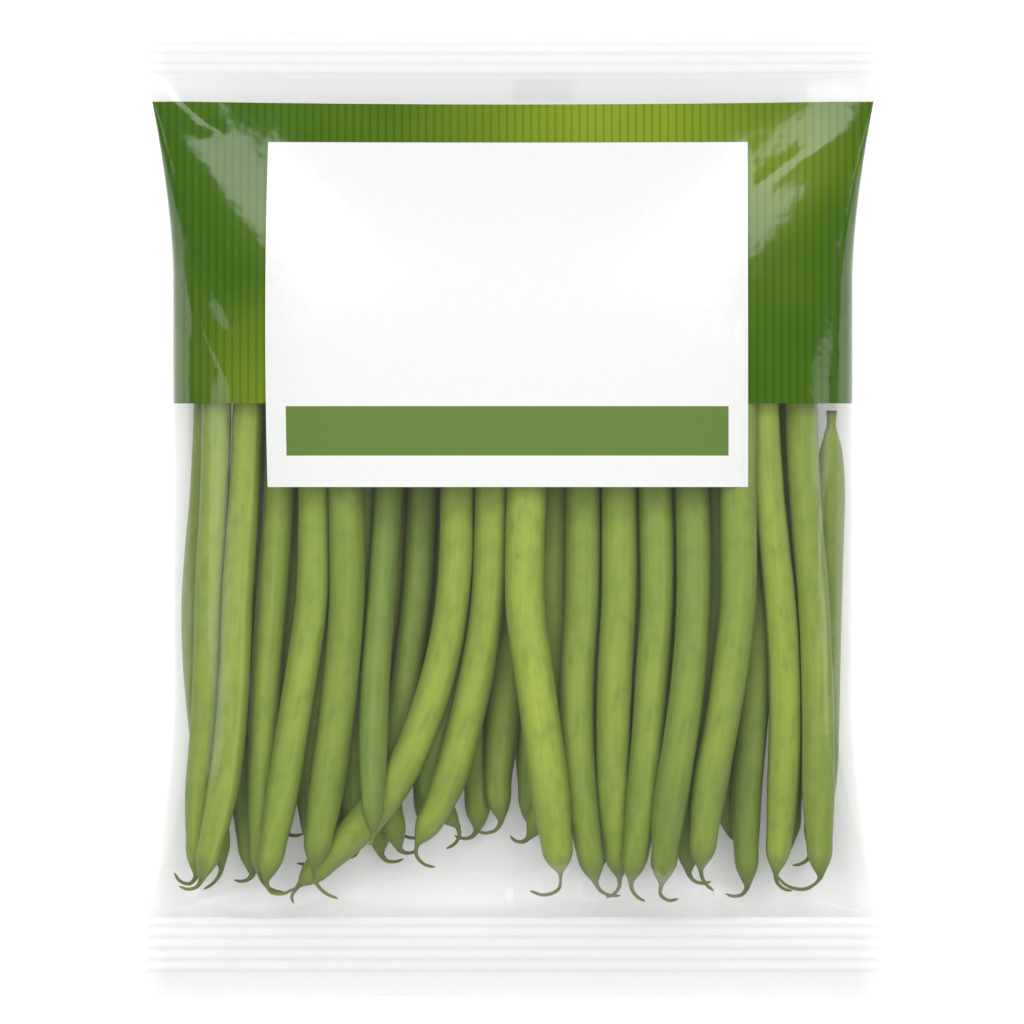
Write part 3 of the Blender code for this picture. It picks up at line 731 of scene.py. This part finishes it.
def front_height(x, y):
    crown = SEAL_HEIGHT + (CROWN - SEAL_HEIGHT) * fullness(y)
    side = fold_height(y)
    out = np.clip(np.abs(x) / half_width(y), 0.0, 1.0)
    return side + (crown - side) * np.sqrt(1 - out**CROWN_POWER)


def fine_lines(stops, step):
    """Values from the first stop to the last that hit every stop, about step apart."""
    lines = [stops[0]]
    for low, high in zip(stops, stops[1:]):
        count = max(1, round((high - low) / step))
        lines.extend(low + (high - low) * n / count for n in range(1, count + 1))
    return lines


def film_rows():
    """Heights along the bag of the sheets' rows, close together in the crimped seals."""
    rib_top = TOP_RIBS[0] + TOP_RIBS[1] * TOP_RIBS[2]
    rib_bottom = BOTTOM_RIBS[0] + BOTTOM_RIBS[1] * BOTTOM_RIBS[2]
    rows = fine_lines((-BAG_END, rib_bottom), ROW_STEP)
    rows += fine_lines((rib_bottom, BOTTOM_SEAL), SEAL_STEP)[1:]
    stops = (BOTTOM_SEAL, PANEL_Y[0], STRIP_Y[0], STRIP_Y[1], BAND[0], PANEL_Y[1], BAND[1],
             TOP_SEAL)
    rows += fine_lines(stops, ROW_STEP)[1:]
    rows += fine_lines((TOP_SEAL, rib_top), SEAL_STEP)[1:]
    rows += fine_lines((rib_top, BAG_END), ROW_STEP)[1:]
    return np.array(rows)


def film_columns():
    """Places across the bag: millimetres over the panel, then shares of the way to each side."""
    inner = np.array(fine_lines((PANEL_X[0], STRIP_X[0], STRIP_X[1], PANEL_X[1]), COLUMN_STEP))
    count = round((WAIST_HALF_WIDTH - PANEL_X[1]) / COLUMN_STEP) + 4
    shares = np.sin(np.linspace(0.0, math.pi / 2, count + 1)[1:])
    return inner, shares


def film_grid():
    """Places across and along the bag of every point of a sheet, each row from left to right."""
    inner, shares = film_columns()
    rows = film_rows()
    places = []
    for y in rows:
        edge = float(half_width(y))
        left = inner[0] - (edge + inner[0]) * shares[::-1]
        right = inner[-1] + (edge - inner[-1]) * shares
        places.append(np.concatenate([left, inner, right]))
    x = np.array(places)
    return x, np.repeat(rows[:, None], x.shape[1], axis=1)


def bean_tops(x, y):
    """Height of the pods under each point of the front sheet."""
    tops = np.full(x.shape, -1.0)
    for line in POD_LINES.values():
        s = np.arange(0.0, line.end, TOP_STEP)
        for middle, radius in zip(line.middle(s), line.radius(s)):
            rows = np.abs(y[:, 0] - middle[1]) < radius
            away = (x[rows] - middle[0]) ** 2 + (y[rows] - middle[1]) ** 2
            rise = np.sqrt(np.maximum(radius**2 - away, 0.0)) * DEPTH_SHARE
            higher = np.maximum(tops[rows], middle[2] + rise)
            tops[rows] = np.where(away < radius**2, higher, tops[rows])
    return tops


def drape(heights, floor):
    """Draws a sheet that is held at its edges down until it lies taut over the floor."""
    for step in range(DRAPE_STEPS + SMOOTH_STEPS):
        mean = (heights[:-2, 1:-1] + heights[2:, 1:-1] + heights[1:-1, :-2] + heights[1:-1, 2:]) / 4
        held = floor[1:-1, 1:-1] if step < DRAPE_STEPS else mean
        heights[1:-1, 1:-1] = np.maximum(mean, held)
    return heights


def seal_ribs(y):
    """Height of the crimps at each seal: rounded ridges across the bag."""
    height = np.zeros_like(y)
    for first, pitch, count in (TOP_RIBS, BOTTOM_RIBS):
        place = (y - first) / pitch
        fades = (*RIB_FADE, count + RIB_FADE[0], count + RIB_FADE[1])
        inside = np.interp(place, fades, (0.0, 1.0, 1.0, 0.0))
        ridge = (0.5 + 0.5 * np.cos(2 * math.pi * place)) ** RIB_SHARPNESS
        height += RIB_HEIGHT * inside * ridge
    return height


def seal_waves(x, y):
    """Slow waves of a seal, strongest at its corners, that fade out in the pillow."""
    past = np.maximum(y - TOP_SEAL, BOTTOM_SEAL - y)
    share = np.interp(past, *WAVES_PAST) * np.interp(np.abs(x), *WAVES_ACROSS)
    height = np.zeros_like(x)
    for run, strength, top, bottom, slant in WAVES:
        start = np.where(y > 0, top, bottom) + slant * np.sin(y / WAVE_SLANT)
        height += strength * np.sin(x / run + start)
    return SEAL_WAVE * share * height


def crease_height(x, y):
    """Fine folds of the front sheet, each fading out towards its ends."""
    height = np.zeros_like(x)
    for (x0, y0), (x1, y1), width, rise in CREASES:
        way = np.array([x1 - x0, y1 - y0])
        length = float(np.hypot(*way))
        along = ((x - x0) * way[0] + (y - y0) * way[1]) / length**2
        side = ((x - x0) * way[1] - (y - y0) * way[0]) / length
        fade = np.interp(along, CREASE_FADE, (0.0, 1.0, 1.0, 0.0))
        bow = CREASE_BEND * length * np.sin(math.pi * np.clip(along, 0.0, 1.0))
        height += rise * fade * np.exp(-np.abs((side - bow) / width) ** CREASE_SHARPNESS)
    return height


def gathers(x, y):
    """Small puckers that run out of each seal into the pillow."""
    into = np.minimum(TOP_SEAL - y, y - BOTTOM_SEAL)
    fade = np.exp(-np.maximum(into, 0.0) / GATHER_REACH)
    fade *= np.interp(into, (0.0, GATHER_START), (0.0, 1.0))
    waves = 1.0
    for run, top, bottom in GATHERS:
        waves = waves * np.sin(x / run + np.where(y > 0, top, bottom))
    return GATHER_HEIGHT * fade * waves


def front_sheet(x, y):
    """Height of the front sheet."""
    ceiling = front_height(x, y)
    heights = ceiling - UNDER_CROWN * fullness(y)
    pillow = (y[:, 0] >= BOTTOM_SEAL - MERGE) & (y[:, 0] <= TOP_SEAL + MERGE)
    tops = bean_tops(x, y)
    heights[pillow] = drape(heights[pillow], np.minimum(tops + OVER_BEANS, ceiling)[pillow])
    heights = np.maximum(heights, np.minimum(tops, ceiling) + LEAST_OVER)
    edge = np.clip((half_width(y) - np.abs(x)) / FREE_EDGE, 0.0, 1.0)
    # The puckers are half as high where the pillow is full
    full = np.clip(fullness(y) * 4, 0.0, 1.0)
    heights += (crease_height(x, y) + gathers(x, y) * (1 - 0.5 * full)) * edge
    return np.where(fullness(y) > 0, np.minimum(heights, ceiling + OVER_BEANS), heights)


def sheet_gap(x, y):
    """Half the gap between the sheets inside a seal, closing at the bag's edges."""
    to_side = (half_width(y) - np.abs(x)) / SIDE_WELD
    to_end = (BAG_END - np.abs(y)) / END_WELD
    return SKIN_HALF * np.clip(np.minimum(to_side, to_end), 0.0, 1.0)


def print_bow(x, y):
    """How far the print bends with the filled front, across and along the bag."""
    high = np.clip(1 - ((y - BOW_MIDDLE) / BOW_HALF) ** 2, 0.0, 1.0)
    wide = np.clip(1 - (x / BOW_WIDTH) ** 2, 0.0, 1.0)
    across = -BOW * high * bell(x - PANEL_X[0], BOW_SIDE)
    along = -BOW * wide * bell(y - BAND[1], BOW_TOP)
    return across, along


def film_sheet(name, x, y, z):
    """One sheet of film: a grid laid out to the given places."""
    rows, columns = x.shape
    deselect()
    bpy.ops.mesh.primitive_grid_add(
        x_subdivisions=columns - 1, y_subdivisions=rows - 1, size=1.0)
    sheet = active(name)
    unit = points_of(sheet.data)
    column = np.rint((unit[:, 0] + 0.5) * (columns - 1)).astype(int)
    row = np.rint((unit[:, 1] + 0.5) * (rows - 1)).astype(int)
    points = np.column_stack([x[row, column], y[row, column], z[row, column]])
    set_points(sheet.data, points * MM)
    return sheet


def print_slots(sheet, materials, front, base=CLEAR, band=GREEN):
    """Gives each face of a sheet the finish of the film or ink at its place."""
    for material in materials:
        sheet.data.materials.append(material)
    middles = np.empty(len(sheet.data.polygons) * 3)
    sheet.data.polygons.foreach_get("center", middles)
    x, y = middles.reshape(-1, 3)[:, :2].T / MM

    def inside(value, span):
        return (span[0] < value) & (value < span[1])

    slots = np.full(len(x), base)
    slots[(y > BAND[1]) | (y < BOTTOM_SEAL)] = SEALED
    # The front bends with its print, so the band behind it ends a little inside
    edge = 0.0 if front else 2 * BOW
    slots[inside(y, (BAND[0] + edge, BAND[1] - edge))] = band
    if front:
        slots[inside(x, PANEL_X) & inside(y, PANEL_Y)] = WHITE
        slots[inside(x, STRIP_X) & inside(y, STRIP_Y)] = STRIP
    sheet.data.polygons.foreach_set("material_index", slots.astype(np.int32))


def cut_vents(sheet):
    """Opens the round vent holes in the back sheet."""
    bpy.ops.object.mode_set(mode="EDIT")
    for x, y in VENTS:
        middle = Vector((x * MM, y * MM))
        choose(sheet, "faces", lambda f: (f.calc_center_median().xy - middle).length
               < VENT_RADIUS * MM)
        bpy.ops.mesh.delete(type="FACE")
    bpy.ops.object.mode_set(mode="OBJECT")
    points = points_of(sheet.data)
    for vent in VENTS:
        way = points[:, :2] / MM - vent
        away = np.hypot(*way.T)
        rim = away < VENT_RADIUS * VENT_RIM
        points[rim, :2] = (vent + way[rim] / away[rim, None] * VENT_RADIUS) * MM
    set_points(sheet.data, points)


def fin_seam(materials):
    """The fin seam folded flat: a flap under the back, crimped along its length."""
    deselect()
    across, along = SEAM_CUTS
    bpy.ops.mesh.primitive_grid_add(x_subdivisions=across, y_subdivisions=along, size=1.0)
    flap = active("fin_seam")
    unit = points_of(flap.data) + 0.5
    x = unit[:, 0] * SEAM_WIDTH
    y = SEAM_ENDS[0] + unit[:, 1] * (SEAM_ENDS[1] - SEAM_ENDS[0])
    above = back_height(np.full_like(y, SEAM_WIDTH / 2), y)
    crimp = SEAM_CRIMP * np.cos(2 * math.pi * x / SEAM_PITCH)
    crimp *= np.interp(x, SEAM_CRIMPED, (0.0, 1.0, 1.0, 0.0))
    wave = SEAM_WAVE * np.sin(y / SEAM_WAVE_RUN) * unit[:, 0]
    root = SEAM_ROOT * np.interp(x, (0.0, SEAM_ROOT), (SEAM_DROP, 0.0))
    z = above - SEAM_DROP + root + crimp + wave
    set_points(flap.data, np.column_stack([x, y, z]) * MM)
    print_slots(flap, materials, False, FUSED, SEALED)
    flap.data.flip_normals()
    return flap


def film_bump(tree):
    """Slow ripples of cast film, which break up its reflections."""
    place = add_node(tree, "TexCoord")["Object"]
    ripples = add_node(tree, "TexNoise", {
        "Vector": place, "Scale": RIPPLE_SCALE, "Detail": 2.0})[0]
    return add_node(tree, "Bump", {
        "Height": ripples, "Strength": 0.5, "Distance": 0.0003})[0]


def thin_film(name, passed, haze, roughness, index=FILM_INDEX):
    """Clear polypropylene film: it lets nearly all light through straight, is a little milky,
    and mirrors more the flatter it is seen."""
    material, tree = new_material(name)
    bump = film_bump(tree)
    clear = add_node(tree, "BsdfTransparent", {"Color": (passed, passed, passed)})[0]
    milk = add_node(tree, "BsdfPrincipled", {
        "Base Color": linear("#E6E7E7"), "Roughness": 0.35, "Normal": bump})[0]
    mirror = add_node(tree, "BsdfGlossy", {
        "Color": linear("#FFFFFF"), "Roughness": roughness, "Normal": bump})[0]
    body = add_node(tree, "MixShader", {0: haze, 1: clear, 2: milk})[0]
    # The sheet has no inside, so it mirrors alike from behind: the node inverts the index there
    behind = add_node(tree, "NewGeometry")["Backfacing"]
    seen_index = add_node(tree, "MapRange", {0: behind, 3: index, 4: 1 / index})[0]
    fresnel = add_node(tree, "Fresnel", {"IOR": seen_index, "Normal": bump})[0]
    whole = add_node(tree, "MixShader", {0: fresnel, 1: body, 2: mirror})[0]
    add_node(tree, "OutputMaterial", {"Surface": whole})
    return material


def printed(tree, colour, shade, roughness):
    """Ink under the glossy face of the film, its colour lighter and darker by the shade."""
    colour = add_node(tree, "Mix", {0: 1.0, 6: colour, 7: shade}, data_type="RGBA",
                      blend_type="MULTIPLY")[2]
    shader = add_node(tree, "BsdfPrincipled", {
        "Base Color": colour, "Roughness": roughness, "Normal": film_bump(tree)})[0]
    add_node(tree, "OutputMaterial", {"Surface": shader})


def band_ink(settings):
    """Green ink on the film: a soft blend of dark and bright green, ruled with fine lines."""
    material, tree = new_material("green gravure ink on film")
    place = add_node(tree, "TexCoord")["Object"]
    soft = add_node(tree, "TexNoise", {
        "Vector": place, "Scale": SOFT_SCALE, "Detail": 1.0})[0]
    glow = add_node(tree, "MapRange", {0: soft, 1: 0.3, 2: 0.7, 3: -0.10, 4: 0.14})[0]
    for (middle_x, middle_y), (reach_x, reach_y), strength in GLOWS:
        away = add_node(tree, "Mapping", {
            "Vector": place, "Location": (-middle_x / reach_x, -middle_y / reach_y, 0.0),
            "Scale": (1 / (reach_x * MM), 1 / (reach_y * MM), 0.0)})[0]
        square = add_node(tree, "VectorMath", {0: away, 1: away},
                          operation="DOT_PRODUCT")["Value"]
        fall = add_node(tree, "Math", {0: 1 / math.e, 1: square}, operation="POWER")[0]
        glow = add_node(tree, "Math", {0: fall, 1: strength, 2: glow},
                        operation="MULTIPLY_ADD")[0]
    colour = add_node(tree, "Mix", {
        0: glow, 6: settings.dark_green, 7: settings.bright_green}, data_type="RGBA")[2]
    x = add_node(tree, "SeparateXYZ", {0: place})[0]
    turns = add_node(tree, "Math", {0: x, 1: 2 * math.pi / settings.line_pitch},
                     operation="MULTIPLY")[0]
    wave = add_node(tree, "Math", {0: turns}, operation="SINE")[0]
    line = add_node(tree, "MapRange", {0: wave, 1: 0.1, 2: 0.95, 3: 1.03, 4: 0.76})[0]
    printed(tree, colour, line, 0.12)
    return material


def plain_ink(name, colour):
    """Opaque ink in one colour, with the faint mottle of a flat print."""
    material, tree = new_material(name)
    place = add_node(tree, "TexCoord")["Object"]
    mottle = add_node(tree, "TexNoise", {
        "Vector": place, "Scale": GRAIN_SCALE, "Detail": 2.0})[0]
    grain = add_node(tree, "MapRange", {0: mottle, 1: 0.3, 2: 0.7, 3: 0.985, 4: 1.01})[0]
    printed(tree, colour, grain, 0.2)
    return material


def make_film(settings):
    materials = (
        thin_film("clear polypropylene film", settings.passed, settings.haze, 0.13),
        thin_film("heat-sealed film", settings.passed, settings.seal_haze, 0.16),
        band_ink(settings),
        plain_ink("white gravure ink on film", settings.white),
        plain_ink("mid green gravure ink on film", settings.strip_green),
        thin_film("film fused to the film above it", FUSED_PASSED, settings.haze, 0.1, FUSED_INDEX),
    )
    x, y = film_grid()
    in_seal = (y > TOP_SEAL) | (y < BOTTOM_SEAL)
    seal = SEAL_HEIGHT + seal_ribs(y)
    front = np.where(in_seal, seal, front_sheet(x, y)) + sheet_gap(x, y)
    back = np.where(in_seal, seal, back_height(x, y)) - sheet_gap(x, y)
    back = np.minimum(back, front)
    waves = seal_waves(x, y)
    front_piece = film_sheet("film_front", x, y, front + waves)
    print_slots(front_piece, materials, True)
    points = points_of(front_piece.data) / MM
    points[:, :2] += np.column_stack(print_bow(points[:, 0], points[:, 1]))
    set_points(front_piece.data, points * MM)
    back_piece = film_sheet("film_back", x, y, np.maximum(back + waves * in_seal, 0.0))
    print_slots(back_piece, materials, False)
    back_piece.data.flip_normals()
    cut_vents(back_piece)
    flap = fin_seam(materials)
    deselect()
    for thing in (back_piece, flap, front_piece):
        thing.select_set(True)
    bpy.context.view_layer.objects.active = front_piece
    bpy.ops.object.join()
    bag = active("film_bag")
    bpy.ops.object.mode_set(mode="EDIT")
    bpy.ops.mesh.select_all(action="SELECT")
    bpy.ops.mesh.remove_doubles(threshold=MERGE)
    bpy.ops.object.mode_set(mode="OBJECT")
    deselect()
    bag.select_set(True)
    bpy.ops.object.shade_smooth_by_angle(angle=math.radians(FILM_BORDER))
    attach(bag, "root")
    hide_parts("bag_film")


def make_floor(settings):
    deselect()
    bpy.ops.mesh.primitive_plane_add(size=FLOOR_SIZE, location=(0.0, 0.0, FLOOR_HEIGHT))
    floor = active("floor")
    bpy.ops.object.transform_apply(location=True, rotation=True, scale=True)
    material, tree = new_material("matt white acrylic of a light table")
    shader = add_node(tree, "BsdfPrincipled", {
        "Base Color": settings.floor_colour, "Roughness": 0.9, "Specular IOR Level": 0.1,
        "Emission Color": linear("#FFFFFF"), "Emission Strength": settings.light_table})[0]
    add_node(tree, "OutputMaterial", {"Surface": shader})
    floor.data.materials.append(material)


def make_camera(settings):
    data = bpy.data.cameras.new("camera")
    data.lens = data.sensor_width * settings.camera_height / settings.view_width
    data.clip_start, data.clip_end = CLIPPED
    camera = bpy.data.objects.new("camera", data)
    camera.location = (*VIEW_MIDDLE, settings.camera_height)
    bpy.context.scene.collection.objects.link(camera)
    bpy.context.scene.camera = camera


def soft_box(name, place, size, power, mirrored):
    """A soft box that faces the middle of the bag, seen or not in its reflections."""
    data = bpy.data.lights.new(name, "AREA")
    data.shape = "RECTANGLE"
    data.size, data.size_y = size
    data.energy = power
    box = bpy.data.objects.new(name, data)
    box.location = place
    box.rotation_euler = (-Vector(place)).to_track_quat("-Z", "Y").to_euler()
    box.visible_camera = False
    box.visible_glossy = mirrored
    bpy.context.scene.collection.objects.link(box)


def make_lights(settings):
    soft_box("overhead box", OVERHEAD_PLACE, OVERHEAD_SIZE, settings.soft_box_power, False)
    for name, place, size, share in SIDE_BOXES:
        soft_box(name, place, size, settings.card_power * share, True)
    world = bpy.data.worlds.new("even light")
    world.use_nodes = True
    background = world.node_tree.nodes["Background"]
    background.inputs["Color"].default_value = (1.0, 1.0, 1.0, 1.0)
    background.inputs["Strength"].default_value = settings.sky
    bpy.context.scene.world = world
    bpy.context.scene.view_settings.view_transform = "Standard"


class OBJECT_OT_bean_pods(bpy.types.Operator):
    """Model the beans of one layer from one straight pod"""

    bl_idname = "object.bean_pods"
    bl_label = "Make a layer of beans"
    bl_options = {"REGISTER", "UNDO"}

    layer: bpy.props.EnumProperty(
        name="Layer", description="Which layer of beans to make",
        items=[(name, name.title(), f"The {name} layer") for name in ("back", "middle", "front")],
        default="front")

    def execute(self, context):
        names = [name for name in POD_LINES if name.startswith(f"bean_{self.layer}_")]
        if not names:
            raise RuntimeError(f"the frame holds no beans of the {self.layer} layer")
        make_pods(names, context.scene.bean_pods)
        return {"FINISHED"}


class OBJECT_OT_bean_film(bpy.types.Operator):
    """Model the printed film over the beans, with its seals and vent holes"""

    bl_idname = "object.bean_film"
    bl_label = "Make the film"
    bl_options = {"REGISTER", "UNDO"}

    def execute(self, context):
        make_film(context.scene.bean_film)
        return {"FINISHED"}


class OBJECT_OT_bean_stage(bpy.types.Operator):
    """Set up the floor, the camera and the soft light"""

    bl_idname = "object.bean_stage"
    bl_label = "Make the stage"
    bl_options = {"REGISTER", "UNDO"}

    def execute(self, context):
        settings = context.scene.bean_stage
        make_floor(settings)
        make_camera(settings)
        make_lights(settings)
        return {"FINISHED"}


class VIEW3D_PT_beans(bpy.types.Panel):
    """Lists the pieces of the bag and their settings"""

    bl_idname = "VIEW3D_PT_beans"
    bl_label = "Bag of green beans"
    bl_space_type = "VIEW_3D"
    bl_region_type = "UI"
    bl_category = "Beans"

    def draw(self, context):
        layout = self.layout
        for group in ("bean_pods", "bean_film", "bean_stage"):
            settings = getattr(context.scene, group)
            box = layout.box()
            for name in settings.bl_rna.properties.keys():
                if name not in ("rna_type", "name"):
                    box.prop(settings, name)
            box.operator(f"object.{group}")


CLASSES = (PodSettings, FilmSettings, StageSettings, OBJECT_OT_bean_pods, OBJECT_OT_bean_film,
           OBJECT_OT_bean_stage, VIEW3D_PT_beans)


def register():
    for cls in CLASSES:
        bpy.utils.register_class(cls)
    bpy.types.Scene.bean_pods = PointerProperty(type=PodSettings)
    bpy.types.Scene.bean_film = PointerProperty(type=FilmSettings)
    bpy.types.Scene.bean_stage = PointerProperty(type=StageSettings)


def unregister():
    for name in ("bean_pods", "bean_film", "bean_stage"):
        delattr(bpy.types.Scene, name)
    for cls in reversed(CLASSES):
        bpy.utils.unregister_class(cls)


def main():
    register()
    for layer in ("back", "middle", "front"):
        bpy.ops.object.bean_pods(layer=layer)
    bpy.ops.object.bean_film()
    bpy.ops.object.bean_stage()


if __name__ == "__main__":
    main()
